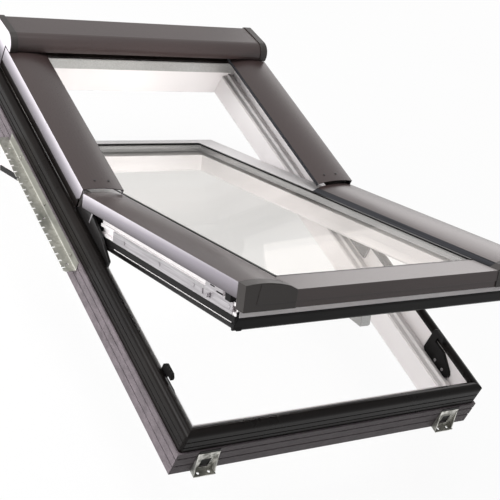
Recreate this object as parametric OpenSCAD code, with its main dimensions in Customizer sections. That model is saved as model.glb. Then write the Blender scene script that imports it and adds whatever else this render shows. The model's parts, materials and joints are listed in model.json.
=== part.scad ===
// Centre-pivot roof window with its frame, sash open.
// X runs across the window, Y up the slope of the roof and Z out of the roof.
// The origin lies in the plane of the roof battens, under the middle of the frame.
// Heights in the modules are measured from the underside of the frame.

/* [Frame] */
// Width over the frame
frame_w = 740; // [600:10:1140]
// Length of the frame up the slope
frame_l = 1180; // [980:10:1600]
// Height of the insulated sides
side_h = 57; // [50:1:64]
// Height of the roof plane over the underside of the frame
roof_plane_h = 33; // [25:1:40]
// Thickness of the insulation blocks
insulation_t = 18; // [10:1:22]
// Height of the upstand's top
upstand_h = 107; // [100:1:110]
// Drop from the upstand's top to the white wall inside it
wall_drop = 12; // [10:1:19]
// Step from the side up to the upstand
upstand_inset = 3.5; // [1:0.5:6]
// Thickness of the weather seal on the upstand
seal_t = 3.5; // [2.5:0.5:5]
// Thickness of the upstand's wall
wall_t = 19.5; // [12:0.5:21]
// Plan radius of the seal's outer corners
seal_corner_r = 8; // [4:1:20]
// Height of the rebate ledge
ledge_h = 52; // [44:1:54]
// Width of a frame member, from its outer face to the room
jamb_w = 65; // [60:1:66]
// Height of the rebate gasket
gasket_strip_h = 9.5; // [4:0.5:9.5]

/* [Pivot] */
// Opening angle of the sash as modelled
sash_open = 26.92; // [0:0.01:60]
// Height of the pivot axis over the sash's outer face
pivot_rise = 10.5; // [6.5:0.5:10.5]
// Radius of the pivot pin
pin_r = 2.5; // [2:0.1:2.6]
// Radial clearance of the pin in its lug
pin_clearance = 0.05; // [0.02:0.01:0.1]
// Radius of the bosses round the pin
boss_r = 4; // [3.6:0.1:4.05]
// Thickness of the frame's hinge plate
frame_hinge_t = 6; // [4:0.5:6]
// Thickness of the sash's hinge lug
sash_hinge_t = 7; // [5:0.5:7]
// Side gap between the two hinge halves
hinge_gap = 1; // [0.5:0.1:1.5]

/* [Sash] */
// Gap between sash and frame opening on each side
sash_gap = 5; // [4:0.5:8]
// Gap between sash and frame wall at each end
sash_end_gap = 6; // [5.5:0.5:9]
// Depth of the sash from its outer face to its room side
sash_depth = 68.5; // [63.5:0.5:73.5]
// Rise of the sash's outer face over the upstand
sash_rise = 36.5; // [35:0.5:37]
// Width of a sash member in view
sash_member_w = 60; // [50:1:66]
// Width of the bottom rail, which carries the handle
bottom_rail_w = 72; // [66:1:84]
// Edge of the sash outside the glass
glass_edge_w = 36; // [28:1:40]
// Edge of the rails outside the glass
rail_edge_w = 18; // [14:1:24]
// Width of the front cladding over the sash, from its end to the glass
front_cover_w = 30; // [24:1:40]
// Width of the top glazing bead
bead_w = 40; // [30:1:50]
// Thickness of one pane
pane_t = 4; // [3:0.5:5]
// Space between the panes
pane_gap = 16; // [12:1:16]
// Width of the overlap profile beyond the sash
overlap_w = 32; // [28:0.5:32]
// Height of the overlap profile
overlap_h = 30; // [28:1:32]
// Drop from the sash's outer face to the overlap profile
overlap_drop = 31.5; // [29.5:0.5:33.5]
// Distance of the overlap's upper end from the pivot axis
overlap_end = 45; // [42:1:80]
// Height of the sash gasket
sash_gasket_h = 20; // [14:0.5:20]

/* [Cladding] */
// Sheet thickness of cladding, covers and hood
sheet_t = 1.5; // [1:0.1:1.5]
// Gap between the sash cladding and the upper covers
cover_gap = 2.2; // [2:0.1:3]
// Side inset of the sash cladding from the frame's outer face
clad_inset = 21; // [20:0.5:23]
// Rise of the cladding's outer edge over the sash's outer face
clad_rise = 16.1; // [16.1:0.1:17.5]
// Rise of the cladding's crown over its outer edge
clad_crown = 2.5; // [1:0.1:2.5]
// Fall of the cladding from its outer to its inner edge
clad_fall = 6.4; // [3:0.1:8]
// Width of the cladding's crowned face
clad_w = 94; // [80:1:96]
// Width of the cladding's steep inner slope
clad_slope_w = 15; // [10:1:16]
// Height of the cladding's side band
band_h = 29.6; // [25.6:0.2:33.6]
// Length of the cladding beyond the pivot axis
clad_end = 12; // [4:1:12]
// Overhang of the front cladding past the frame
front_overhang = 10; // [8:1:14]
// Height of the front cladding's face
front_h = 34.3; // [32:0.1:36]
// Rise of the front cladding over the sash's outer face
front_rise = 2.3; // [1.1:0.1:4.5]
// Depth of the corner caps
cap_depth = 24; // [16:1:30]
// Lower end of the upper covers above the pivot axis
cover_end = 14.5; // [14.5:0.5:24]
// Height of the covers' inner flange over the sash's outer face
cover_inner_rise = 5; // [4.5:0.1:6]

/* [Hood] */
// Distance of the hood's lip from the frame's upper end
hood_lip = 108; // [90:1:130]
// Rise of the hood's lip over the cladding's outer edge
hood_lip_rise = 8.4; // [8.4:0.2:12.4]
// Height of the hood over its lip
hood_h = 32; // [26:1:38]
// Radius of the hood's nose
hood_nose_r = 30; // [20:1:32]
// Overhang of the hood past the frame's upper end
hood_overhang = 4; // [2:1:10]
// Width of an end cap
hood_cap_w = 18; // [12:1:30]
// Height that an end cap stands proud of the hood
hood_cap_proud = 2; // [1:0.5:3]

/* [Brackets] */
// Width of the side bracket's flange
flange_w = 28; // [22:1:40]
// Sheet thickness of the brackets
bracket_t = 2; // [1.5:0.5:3]
// Lower end of the side bracket from the middle
bracket_low = 90; // [85:1:140]
// Upper end of the side bracket from the middle
bracket_high = 340; // [300:5:400]
// Height of the side bracket's upright leg
bracket_leg = 24; // [20:1:24]
// Distance of the fixing holes from the frame's side
hole_out = 13; // [10:0.5:14]
// Spacing of the fixing holes up the slope
hole_spacing = 140; // [100:10:150]
// Radius of the fixing holes
hole_r = 3; // [2.5:0.5:4]
// Distance of the upper fixing hole from the bracket's upper end
upper_hole_in = 40; // [30:1:60]
// Pitch of the notches in the flange's edge
notch_pitch = 20; // [16:1:30]
// Width of a notch
notch_w = 5; // [3:0.5:7]
// Depth of a notch
notch_d = 7; // [4:0.5:8]
// Distance of the sill brackets from the middle
sill_bracket_x = 300; // [200:5:305]
// Width of a sill bracket
sill_bracket_w = 48; // [40:1:60]
// Height of a sill bracket
sill_bracket_h = 50; // [44:1:54]
// Reach of a sill bracket's foot
sill_bracket_reach = 17; // [15:1:24]

/* [Locks] */
// Distance of the lock stud from the frame's lower end, unlocked
stud_in = 120; // [110:1:150]
// Drop from the overlap's upper side to the lock stud
stud_drop = 12; // [11:0.5:14]
// Radius of the lock stud
stud_r = 4; // [3:0.5:4]
// Travel of the lock rods
lock_travel = 20; // [16:1:20]
// Thickness of the lock faceplates
plate_t = 2; // [1.5:0.5:2.5]
// Distance of the faceplate's upper end from the pivot axis
plate_start = 103; // [90:1:160]
// Sliding clearance of the lock rods
rod_clearance = 0.3; // [0.3:0.05:0.5]
// Thickness of the strike blocks
catch_t = 7; // [5:0.5:7]
// Length of the strike blocks
catch_l = 94; // [84:1:110]
// Height of a strike's hook over its slot
hook_t = 12; // [8:1:14]
// Height of the lock cases on the overlap
case_h = 11; // [8:0.5:13]
// Height of the stop blocks by the front corners
stop_h = 15; // [10:0.5:16]

/* [Handle] */
// Length of the handle's lever
lever_l = 118; // [90:1:140]
// Width of the lever
lever_w = 20; // [16:1:24]
// Stand-off of the lever from the sash
lever_off = 38; // [28:1:50]
// Thickness of the handle's rose
rose_t = 8; // [6:0.5:12]
// Distance of the lever from the frame's sill
handle_clear = 11; // [10:0.5:14]
// Radius of the handle's spindle
spindle_r = 5; // [4:0.5:6]

/* [Hidden] */
$fn = 64;

// Half sizes and lines of the frame
wall_h = upstand_h - wall_drop;
half_w = frame_w / 2;
half_l = frame_l / 2;
wall_out = upstand_inset + seal_t;
wall_in = wall_out + wall_t;
inner_x = half_w - wall_in;
inner_y = half_l - wall_in;
opening_x = half_w - jamb_w;
mitre_reach = 3 * jamb_w;
tall = 4 * upstand_h;
touch = 0.3;

// Lines of the sash, closed
sash_top_h = upstand_h + sash_rise;
sash_bottom_h = sash_top_h - sash_depth;
pivot_h = sash_top_h + pivot_rise;
sash_x = opening_x - sash_gap;
sash_y = inner_y - sash_end_gap;
sight_x = sash_x - sash_member_w;
front_line_y = sash_y - front_cover_w;
bead_line_y = sash_y - bead_w;
glass_x = sash_x - glass_edge_w - 2;
glass_y = sash_y - rail_edge_w - 2;
glass_top_h = sash_top_h - 0.5;
glass_bottom_h = glass_top_h - 2 * pane_t - pane_gap;
overlap_x = sash_x + overlap_w;
overlap_top_h = sash_top_h - overlap_drop;
overlap_bottom_h = overlap_top_h - overlap_h;
fin_x = overlap_x - 4;
fin_t = 4;
gasket_bottom_h = overlap_bottom_h - sash_gasket_h;

// Lines of the cladding
clad_edge_h = sash_top_h + clad_rise;
band_bottom_h = clad_edge_h - band_h;
front_top_h = sash_top_h + front_rise;
front_bottom_h = front_top_h - front_h;
cover_inner_h = sash_top_h + cover_inner_rise;
hood_lip_h = clad_edge_h + hood_lip_rise;
hood_top_h = hood_lip_h + hood_h;
clad_x = half_w - clad_inset;
crown_in_x = clad_x - clad_w;
clad_in_x = crown_in_x - clad_slope_w;
clad_foot_h = sash_top_h + touch;
front_y = half_l + front_overhang;
cap_back_y = front_y - cap_depth;
clad_step = 2;
clad_step_h = front_bottom_h + 0.38 * front_h;
front_gasket_w = 0.6 * sash_gasket_h;
front_fin_t = 3;
front_fin_step = 1;
front_lip_h = overlap_bottom_h + 0.55 * overlap_h;
cover_rise = cover_gap + sheet_t;
cover_x = clad_x + 1.5 + sheet_t;
cover_lap = 22;
cover_top_y = half_l - hood_lip + cover_lap;

// Crown of the cladding: quadratic with its peak clad_crown over the outer edge
crown_a = 2 * clad_crown + 2 * sqrt(clad_crown * (clad_crown + clad_fall));
crown_b = -(crown_a + clad_fall);
function crown_h(x) = let (u = (clad_x - x) / clad_w) clad_edge_h + crown_a * u + crown_b * u * u;
crown_steps = 12;

// Hinges, locks and strikes
frame_hinge_x = inner_x - frame_hinge_t;
sash_hinge_out = frame_hinge_x - hinge_gap;
sash_hinge_in = sash_hinge_out - sash_hinge_t;
hinge_foot_y = overlap_end - 7;
handle_y = -(half_l - jamb_w) + lever_w / 2 + handle_clear;
spindle_l = 24;
rose_l = 22;
stud_y = half_l - stud_in;
stud_h = overlap_top_h - stud_drop;
groove_h = 2 * stud_r + 4;
groove_d = 7;
plate_half_h = 0.37 * overlap_h;
rod_x0 = overlap_x - groove_d + rod_clearance;
rod_x1 = overlap_x - rod_clearance;
catch_x = inner_x - catch_t;
hook_gap = 1.5;
strip_foot_h = 3;
catch_low_h = ledge_h + strip_foot_h + touch;

white = [0.92, 0.91, 0.91];
clad_grey = [0.33, 0.30, 0.29];
seal_black = [0.10, 0.10, 0.10];
side_grey = [0.46, 0.42, 0.45];
steel = [0.66, 0.67, 0.63];

// Moves heights from the frame's underside to the roof plane
module in_roof() {
    translate([0, 0, -roof_plane_h]) children();
}

// Turns the closed sash about its pivot to the opening angle
module in_sash() {
    in_roof()
        translate([0, 0, pivot_h])
            rotate([-sash_open, 0, 0])
                translate([0, 0, -pivot_h])
                    children();
}

// Draws on the right as modelled, or mirrored on the left
module on_side(right) {
    if (right)
        children();
    else
        mirror([1, 0, 0]) children();
}

// Profile in x and height, run along the slope
module run_y(y0, y1) {
    translate([0, y1, 0]) rotate([90, 0, 0]) linear_extrude(y1 - y0) children();
}

// Profile in y and height, run across the window
module run_x(x0, x1) {
    translate([x0, 0, 0]) rotate([90, 0, 90]) linear_extrude(x1 - x0) children();
}

// One side of a mitred ring: 0 sill, 1 right, 2 head, 3 left.
// The profile runs inwards from the ring's edge; start and end give the depth of each mitre.
module ring_side(k, w, l, start, end) {
    run = k % 2 == 0 ? w : l;
    reach = k % 2 == 0 ? l : w;
    plan = [
        [-run / 2, 0], [run / 2, 0], [run / 2 - end, end], [run / 2 - end, mitre_reach],
        [-run / 2 + start, mitre_reach], [-run / 2 + start, start]
    ];
    rotate([0, 0, 90 * k])
        translate([0, -reach / 2, 0])
            intersection() {
                run_x(-run / 2, run / 2) children();
                translate([0, 0, -tall / 2]) linear_extrude(tall) polygon(plan);
            }
}

// Rectangle with round corners, centred
module round_rect(w, l, r) {
    polygon([
        for (k = [0:3], a = [0:9:90])
            let (x = k == 0 || k == 3 ? 1 : -1, y = k < 2 ? 1 : -1)
                [x * (w / 2 - r) + r * cos(a + 90 * k), y * (l / 2 - r) + r * sin(a + 90 * k)]
    ]);
}

// Frame

// Jamb and sill: base, rebate ledge and upstand wall
module frame_profile() {
    polygon([
        [insulation_t, 0], [jamb_w, 0], [jamb_w - 2, ledge_h], [wall_in, ledge_h],
        [wall_in, wall_h], [wall_out, wall_h], [wall_out, side_h], [insulation_t, side_h]
    ]);
}

// Head: upstand wall only, so that the sash can swing in past it
module head_profile() {
    polygon([
        [insulation_t, 0], [wall_in, 0], [wall_in, wall_h],
        [wall_out, wall_h], [wall_out, side_h], [insulation_t, side_h]
    ]);
}

module frame_sill() {
    color(white) in_roof()
        ring_side(0, frame_w, frame_l, jamb_w, jamb_w) frame_profile();
}

module frame_right_jamb() {
    color(white) in_roof()
        ring_side(1, frame_w, frame_l, jamb_w, wall_in) frame_profile();
}

module frame_head() {
    color(white) in_roof()
        ring_side(2, frame_w, frame_l, wall_in, wall_in) head_profile();
}

module frame_left_jamb() {
    color(white) in_roof()
        ring_side(3, frame_w, frame_l, wall_in, jamb_w) frame_profile();
}

// Insulation block with two grooves along its outer face
module insulation_profile() {
    groove_w = 3;
    groove_depth = 1.5;
    difference() {
        square([insulation_t, side_h]);
        for (h = [0.36, 0.72] * side_h)
            translate([-groove_depth, h]) square([2 * groove_depth, groove_w]);
    }
}

module insulation(k) {
    color(side_grey) in_roof()
        ring_side(k, frame_w, frame_l, insulation_t, insulation_t) insulation_profile();
}

module insulation_sill() {
    insulation(0);
}

module insulation_right() {
    insulation(1);
}

module insulation_head() {
    insulation(2);
}

module insulation_left() {
    insulation(3);
}

// Weather seal: skin on the upstand with a round outer shoulder and a falling inner edge
module seal_profile() {
    shoulder_r = upstand_h - wall_h;
    rib = 1.2;
    difference() {
        union() {
            translate([upstand_inset, side_h]) square([seal_t, wall_h - side_h + touch]);
            polygon(concat(
                [for (a = [180:-10:90])
                    [upstand_inset + shoulder_r + shoulder_r * cos(a), wall_h + shoulder_r * sin(a)]],
                [[wall_in - 6, upstand_h - 1.5], [wall_in, upstand_h - 6], [wall_in, wall_h]]
            ));
        }
        for (u = [0.3, 0.68])
            translate([upstand_inset - rib, side_h + u * (wall_h - side_h)]) square([2 * rib, 2 * rib]);
    }
}

// Ring of four mitred runs, with a key inside each corner
module weather_seal() {
    key_in = (wall_out + wall_in) / 2;
    key_w = wall_t / 4;
    corner_in = upstand_inset - touch;
    color(seal_black) in_roof()
        intersection() {
            union() {
                for (k = [0:3])
                    ring_side(k, frame_w, frame_l, wall_in, wall_in) seal_profile();
                for (x = [-1, 1], y = [-1, 1])
                    translate([x * (half_w - key_in), y * (half_l - key_in), wall_h + wall_drop / 2])
                        cube([key_w, key_w, wall_drop / 3], center = true);
            }
            linear_extrude(tall)
                round_rect(frame_w - 2 * corner_in, frame_l - 2 * corner_in, seal_corner_r);
        }
}

// Rebate gasket: flat foot with a raised lip
module strip_profile() {
    lip_w = 8;
    middle = (wall_in + jamb_w) / 2;
    polygon([
        [wall_in + 2, ledge_h], [jamb_w - 4, ledge_h], [jamb_w - 4, ledge_h + strip_foot_h],
        [middle + lip_w / 2, ledge_h + strip_foot_h], [middle + lip_w / 4, ledge_h + gasket_strip_h],
        [middle - lip_w / 4, ledge_h + gasket_strip_h], [middle - lip_w / 2, ledge_h + strip_foot_h],
        [wall_in + 2, ledge_h + strip_foot_h]
    ]);
}

module rebate_gasket() {
    color("gray") in_roof() {
        ring_side(0, frame_w, frame_l, jamb_w, jamb_w) strip_profile();
        ring_side(1, frame_w, frame_l, jamb_w, wall_in) strip_profile();
        ring_side(3, frame_w, frame_l, wall_in, jamb_w) strip_profile();
    }
}

// Covers and hood

// Crowned sheet section from the outer band to the inner flange, raised over the sash's crown
module crowned_section(rise, widen, band_h, inner_h) {
    steps = [for (i = [0:crown_steps]) i / crown_steps];
    outer = [for (u = steps)
        [clad_x + widen - u * (clad_w + widen), crown_h(clad_x - u * clad_w) + rise]];
    inner = [for (i = [crown_steps:-1:0]) let (u = i / crown_steps)
        [clad_x + widen - sheet_t - u * (clad_w + widen - 2 * sheet_t),
         crown_h(clad_x - u * clad_w) + rise - sheet_t]];
    polygon(concat(
        [[clad_x + widen, band_h]], outer, [[crown_in_x, inner_h], [crown_in_x + sheet_t, inner_h]],
        inner, [[clad_x + widen - sheet_t, band_h]]
    ));
}

module cover(right) {
    band_low_h = band_bottom_h - sheet_t;
    cut = 0.4 * band_h;
    color(clad_grey) in_roof() on_side(right)
        difference() {
            run_y(cover_end, cover_top_y)
                crowned_section(cover_rise, cover_x - clad_x, band_low_h, cover_inner_h);
            run_x(clad_x, cover_x + 1)
                polygon([
                    [cover_end - 1, band_low_h - 1], [cover_end + cut, band_low_h - 1],
                    [cover_end - 1, band_low_h + cut]
                ]);
        }
}

module cover_left() {
    cover(false);
}

module cover_right() {
    cover(true);
}

// Web under a cover's outer edge, standing on the upstand
module cover_carrier(right) {
    web_t = 4;
    web_x = cover_x - sheet_t - 1.5;
    color(seal_black) in_roof() on_side(right)
        run_y(cover_end + 8, cover_top_y + 3)
            polygon([
                [web_x - web_t, upstand_h], [web_x, upstand_h],
                [web_x, clad_edge_h + cover_gap - touch], [web_x - web_t, clad_edge_h + cover_gap - touch]
            ]);
}

module cover_carrier_left() {
    cover_carrier(false);
}

module cover_carrier_right() {
    cover_carrier(true);
}

module cover_screws() {
    head_r = 2.5;
    head_h = 1;
    in_x = 0.35 * clad_w;
    in_y = 24;
    color(steel) in_roof()
        for (s = [-1, 1], x = [clad_x - in_x, clad_x - 2 * in_x])
            translate([s * x, cover_end + in_y, crown_h(x) + cover_rise + touch])
                cylinder(r = head_r, h = head_h);
}

// Hood outline in y and height: lip, nose rounded within the hood's face, gently falling top and
// turned-down back
function hood_outline(grow) = let (
    nose_r = min(hood_nose_r, hood_h - 1.2 * sheet_t),
    lip_y = half_l - hood_lip - grow,
    nose_y = lip_y + nose_r,
    nose_h = hood_top_h + grow - nose_r,
    back_y = half_l + hood_overhang + grow
) concat(
    [[lip_y, hood_lip_h - grow]],
    [for (a = [180:-10:90]) [nose_y + nose_r * cos(a), nose_h + nose_r * sin(a)]],
    [[back_y - 8, hood_top_h + grow - 8], [back_y, hood_top_h + grow - 14]]
);

module hood_sheet_section() {
    outer = hood_outline(0);
    inner = hood_outline(-sheet_t);
    back = half_l + hood_overhang;
    polygon(concat(
        outer, [[back, upstand_h + 4], [back - sheet_t, upstand_h + 4]],
        [for (i = [len(inner) - 1:-1:1]) inner[i]], [[half_l - hood_lip + sheet_t, hood_lip_h]]
    ));
}

module hood() {
    color(clad_grey) in_roof()
        run_x(-cover_x + hood_cap_w, cover_x - hood_cap_w) hood_sheet_section();
}

module hood_cap(right) {
    step_y = cover_top_y + 4;
    back = half_l + hood_overhang + hood_cap_proud;
    color(seal_black) in_roof() on_side(right)
        run_x(cover_x - hood_cap_w, cover_x)
            polygon(concat(
                hood_outline(hood_cap_proud),
                [[back, upstand_h + 4], [half_l - upstand_inset, upstand_h + 4]],
                [[half_l - upstand_inset - 6, upstand_h], [step_y, upstand_h]],
                [[step_y, hood_lip_h - hood_cap_proud]]
            ));
}

module hood_cap_left() {
    hood_cap(false);
}

module hood_cap_right() {
    hood_cap(true);
}

// Brackets

// Mounting angle on the right jamb: notched flange, upright leg and round upper end
module side_bracket(right) {
    end_r = flange_w / 2;
    notches = floor((bracket_high + bracket_low - 3 * notch_pitch) / notch_pitch);
    color(steel) in_roof() on_side(right) {
        translate([half_w, 0, roof_plane_h])
            linear_extrude(bracket_t)
                difference() {
                    union() {
                        translate([0, -bracket_low])
                            square([flange_w, bracket_high + bracket_low - end_r]);
                        square([end_r, bracket_high]);
                        translate([end_r, bracket_high - end_r]) circle(end_r);
                    }
                    for (i = [0:notches])
                        translate([flange_w - notch_d, -bracket_low + notch_pitch * (i + 0.5)])
                            square([2 * notch_d, notch_w]);
                    translate([flange_w, -bracket_low]) rotate(45) square(notch_d, center = true);
                    for (y = [-hole_spacing / 2, hole_spacing / 2, bracket_high - upper_hole_in])
                        translate([hole_out, y]) circle(hole_r);
                }
        translate([half_w, -bracket_low, roof_plane_h + bracket_t])
            cube([bracket_t, bracket_high + bracket_low - end_r, bracket_leg - bracket_t]);
    }
}

module side_bracket_left() {
    side_bracket(false);
}

module side_bracket_right() {
    side_bracket(true);
}

module bracket_screws() {
    screw_h = roof_plane_h + (bracket_leg + bracket_t) / 2;
    color(steel) in_roof()
        for (s = [-1, 1], y = [-0.6 * bracket_low, 0.3 * bracket_high, 0.75 * bracket_high])
            translate([s * (half_w + bracket_t), y, screw_h])
                rotate([0, s * 90, 0]) cylinder(r = 4.5, h = 3, $fn = 6);
}

// Folded bracket on the sill: pierced upright, foot with a fixing slot and two wings
module sill_bracket() {
    window = 0.45 * sill_bracket_w;
    foot_y = -half_l - sill_bracket_reach;
    translate([0, -half_l, 0]) rotate([90, 0, 0])
        linear_extrude(bracket_t)
            difference() {
                translate([-sill_bracket_w / 2, 0]) square([sill_bracket_w, sill_bracket_h]);
                translate([-window / 2, bracket_t + 6]) square([window, 0.5 * sill_bracket_h]);
            }
    linear_extrude(bracket_t)
        difference() {
            translate([-sill_bracket_w / 2, foot_y]) square([sill_bracket_w, sill_bracket_reach]);
            for (x = [-1, 1] * sill_bracket_w / 4)
                translate([x, foot_y + sill_bracket_reach / 2 - 1]) circle(hole_r);
        }
    for (x = [-sill_bracket_w / 2, sill_bracket_w / 2 - bracket_t])
        run_x(x, x + bracket_t)
            polygon([
                [foot_y + 3, bracket_t], [-half_l - bracket_t, bracket_t],
                [-half_l - bracket_t, sill_bracket_h - 6]
            ]);
}

module sill_brackets() {
    color(steel) in_roof()
        for (s = [-1, 1])
            translate([s * sill_bracket_x, 0, 0]) sill_bracket();
}

// Strikes

// Strike block: tall head with a hook that the lock stud slides under, and a tapered tail
module strike(right) {
    nose_y = -stud_y + stud_r + 2 * hook_gap + 5;
    post_y = nose_y + stud_r + lock_travel - 6;
    head_y = post_y + 0.2 * catch_l;
    tail_y = head_y - catch_l;
    hook_h = stud_h + stud_r + 2 * hook_gap;
    top_h = hook_h + hook_t;
    body_h = stud_h - stud_r - hook_gap;
    tail_h = catch_low_h + 0.5 * (body_h - catch_low_h);
    bevel = 0.06 * catch_l;
    color(seal_black) in_roof() on_side(right)
        run_x(catch_x, inner_x)
            polygon([
                [tail_y, 0.7 * catch_low_h + 0.3 * tail_h], [tail_y + bevel, catch_low_h],
                [head_y - bevel, catch_low_h],
                [head_y, catch_low_h + bevel], [head_y, top_h - bevel], [head_y - bevel, top_h],
                [nose_y + bevel, top_h], [nose_y, top_h - bevel], [nose_y, hook_h], [post_y, hook_h],
                [post_y, body_h], [tail_y + 0.45 * catch_l, body_h], [tail_y + bevel, tail_h],
                [tail_y, 0.3 * catch_low_h + 0.7 * tail_h]
            ]);
}

module catch_left() {
    strike(false);
}

module catch_right() {
    strike(true);
}

module catch_screws() {
    head_r = 3.5;
    head_t = 0.8;
    screw_h = catch_low_h + 2.5 * head_r;
    color(steel) in_roof()
        for (s = [-1, 1], u = [0.2, 0.5])
            translate([s * catch_x, -stud_y + (u - 0.45) * catch_l, screw_h])
                rotate([0, -s * 90, 0]) cylinder(r = head_r, h = head_t);
}

// Hinges

// Hinge plate on the jamb with a long wing; its neck is cranked out of the turning cladding's way
module frame_hinge(right) {
    foot_w = 35;
    wing_l = 145;
    wing_rise = 11;
    foot_h = ledge_h + gasket_strip_h + 2;
    elbow_y = -13;
    elbow_h = pivot_h - 14;
    side = 0.55 * boss_r;
    color(steel) in_roof() on_side(right) {
        run_x(frame_hinge_x, inner_x) {
            polygon([
                [-wing_l, foot_h], [foot_w, foot_h], [foot_w, wall_h], [elbow_y + boss_r, elbow_h],
                [side, pivot_h - side], [-side, pivot_h + side], [elbow_y - boss_r, elbow_h],
                [-0.62 * wing_l, upstand_h + 2 * wing_rise], [-wing_l, upstand_h + 0.3 * wing_rise]
            ]);
            translate([0, pivot_h]) circle(boss_r);
        }
        translate([sash_hinge_in - 1, 0, pivot_h])
            rotate([0, 90, 0]) cylinder(r = pin_r, h = frame_hinge_x - sash_hinge_in + 2);
    }
}

module frame_hinge_left() {
    frame_hinge(false);
}

module frame_hinge_right() {
    frame_hinge(true);
}

module sash_hinge(right) {
    plate = 3;
    web_h = overlap_bottom_h + 6;
    color(steel) in_sash() on_side(right)
        difference() {
            union() {
                translate([sash_x, -hinge_foot_y, sash_bottom_h + 2])
                    cube([plate, 2 * hinge_foot_y, overlap_top_h - sash_bottom_h]);
                translate([sash_x, -hinge_foot_y, web_h])
                    cube([sash_hinge_out - sash_x, 2 * hinge_foot_y, plate]);
                run_x(sash_hinge_in, sash_hinge_out) {
                    polygon([
                        [-hinge_foot_y, web_h], [hinge_foot_y, web_h], [boss_r, pivot_h], [-boss_r, pivot_h]
                    ]);
                    translate([0, pivot_h]) circle(boss_r);
                }
            }
            translate([sash_hinge_in - 1, 0, pivot_h])
                rotate([0, 90, 0]) cylinder(r = pin_r + pin_clearance, h = sash_hinge_t + 2);
        }
}

module sash_hinge_left() {
    sash_hinge(false);
}

module sash_hinge_right() {
    sash_hinge(true);
}

// Sash

// Sash member: room side body and the edge beside the glass
module sash_profile(body, edge) {
    polygon([
        [0, sash_bottom_h], [body - 6, sash_bottom_h], [body, sash_bottom_h + 6],
        [body, glass_bottom_h - touch], [edge, glass_bottom_h - touch], [edge, sash_top_h], [0, sash_top_h]
    ]);
}

module sash_stile(k) {
    color(white) in_sash()
        ring_side(k, 2 * sash_x, 2 * sash_y, sash_member_w, sash_member_w)
            sash_profile(sash_member_w, glass_edge_w);
}

module sash_left_stile() {
    sash_stile(3);
}

module sash_right_stile() {
    sash_stile(1);
}

// Bottom rail, bored for the handle's spindle
module sash_bottom_rail() {
    color(white) in_sash()
        difference() {
            ring_side(0, 2 * sash_x, 2 * sash_y, sash_member_w, sash_member_w)
                sash_profile(bottom_rail_w, rail_edge_w);
            translate([0, handle_y, sash_bottom_h - 1])
                cylinder(r = spindle_r + pin_clearance, h = spindle_l + 2);
        }
}

module sash_top_rail() {
    color(white) in_sash()
        ring_side(2, 2 * sash_x, 2 * sash_y, sash_member_w, sash_member_w)
            sash_profile(sash_member_w, rail_edge_w);
}

module pane(h) {
    translate([-glass_x, -glass_y, h]) cube([2 * glass_x, 2 * glass_y, pane_t]);
}

module glass_outer() {
    color([0.8, 0.88, 0.88, 0.4]) in_sash() pane(glass_top_h - pane_t);
}

module glass_inner() {
    color([0.8, 0.88, 0.88, 0.4]) in_sash() pane(glass_bottom_h);
}

module glass_spacer() {
    spacer_w = 7;
    inset = 5;
    color("silver") in_sash()
        translate([0, 0, glass_bottom_h + pane_t])
            linear_extrude(pane_gap)
                difference() {
                    square([2 * (glass_x - inset), 2 * (glass_y - inset)], center = true);
                    square(
                        [2 * (glass_x - inset - spacer_w), 2 * (glass_y - inset - spacer_w)],
                        center = true
                    );
                }
}

// Overlap beside the sash: rebate wall, groove for the lock rod and fin under the cladding
module overlap_side_profile() {
    polygon([
        [sash_x, overlap_bottom_h], [overlap_x, overlap_bottom_h], [overlap_x, stud_h - groove_h / 2],
        [overlap_x - groove_d, stud_h - groove_h / 2], [overlap_x - groove_d, stud_h + groove_h / 2],
        [overlap_x, stud_h + groove_h / 2], [overlap_x, overlap_top_h], [fin_x, overlap_top_h],
        [fin_x, crown_h(fin_x) - sheet_t - touch], [fin_x - fin_t, crown_h(fin_x) - sheet_t - touch],
        [fin_x - fin_t, overlap_top_h], [sash_x, overlap_top_h]
    ]);
}

module sash_overlap_side(right) {
    color(white) in_sash() on_side(right)
        run_y(-sash_y, -overlap_end) overlap_side_profile();
}

module sash_overlap_left() {
    sash_overlap_side(false);
}

module sash_overlap_right() {
    sash_overlap_side(true);
}

// Front overlap: stepped fin along the bottom rail and nose that carries the front cladding
module sash_overlap_front() {
    fin_y = sash_y + front_fin_t;
    step_y = sash_y + front_fin_step;
    nose_y = front_y - clad_step - sheet_t - touch;
    nose_h = front_top_h - sheet_t - 2;
    color(white) in_sash() {
        run_x(-overlap_x, overlap_x)
            polygon([
                [-sash_y, overlap_bottom_h], [-sash_y, overlap_top_h], [-fin_y, overlap_top_h],
                [-fin_y, front_lip_h], [-step_y, front_lip_h], [-step_y, overlap_bottom_h]
            ]);
        run_x(-clad_in_x + touch, clad_in_x - touch)
            polygon([
                [-fin_y, overlap_top_h - front_fin_t], [-sash_y, overlap_top_h - front_fin_t],
                [-sash_y, sash_top_h], [-nose_y, nose_h], [-nose_y, nose_h - 3], [-fin_y, overlap_top_h + 10]
            ]);
    }
}

// Sash gasket beside the sash: double lip on the overlap's edge and soft body under it
module gasket_profile() {
    lip = sash_gasket_h / 10;
    top_h = stud_h - plate_half_h - touch;
    mid_h = (top_h + gasket_bottom_h) / 2;
    polygon([
        [0, top_h], [-plate_t, top_h], [-plate_t, mid_h + 0.7 * lip], [0.5 * lip - plate_t, mid_h],
        [-plate_t, mid_h - 0.7 * lip], [0.2 * lip, gasket_bottom_h + 1.5 * lip], [2 * lip, gasket_bottom_h],
        [0.44 * overlap_w, gasket_bottom_h], [0.56 * overlap_w, overlap_bottom_h - 2 * lip],
        [overlap_w, overlap_bottom_h - 2 * lip], [overlap_w, overlap_bottom_h], [0, overlap_bottom_h]
    ]);
}

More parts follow.
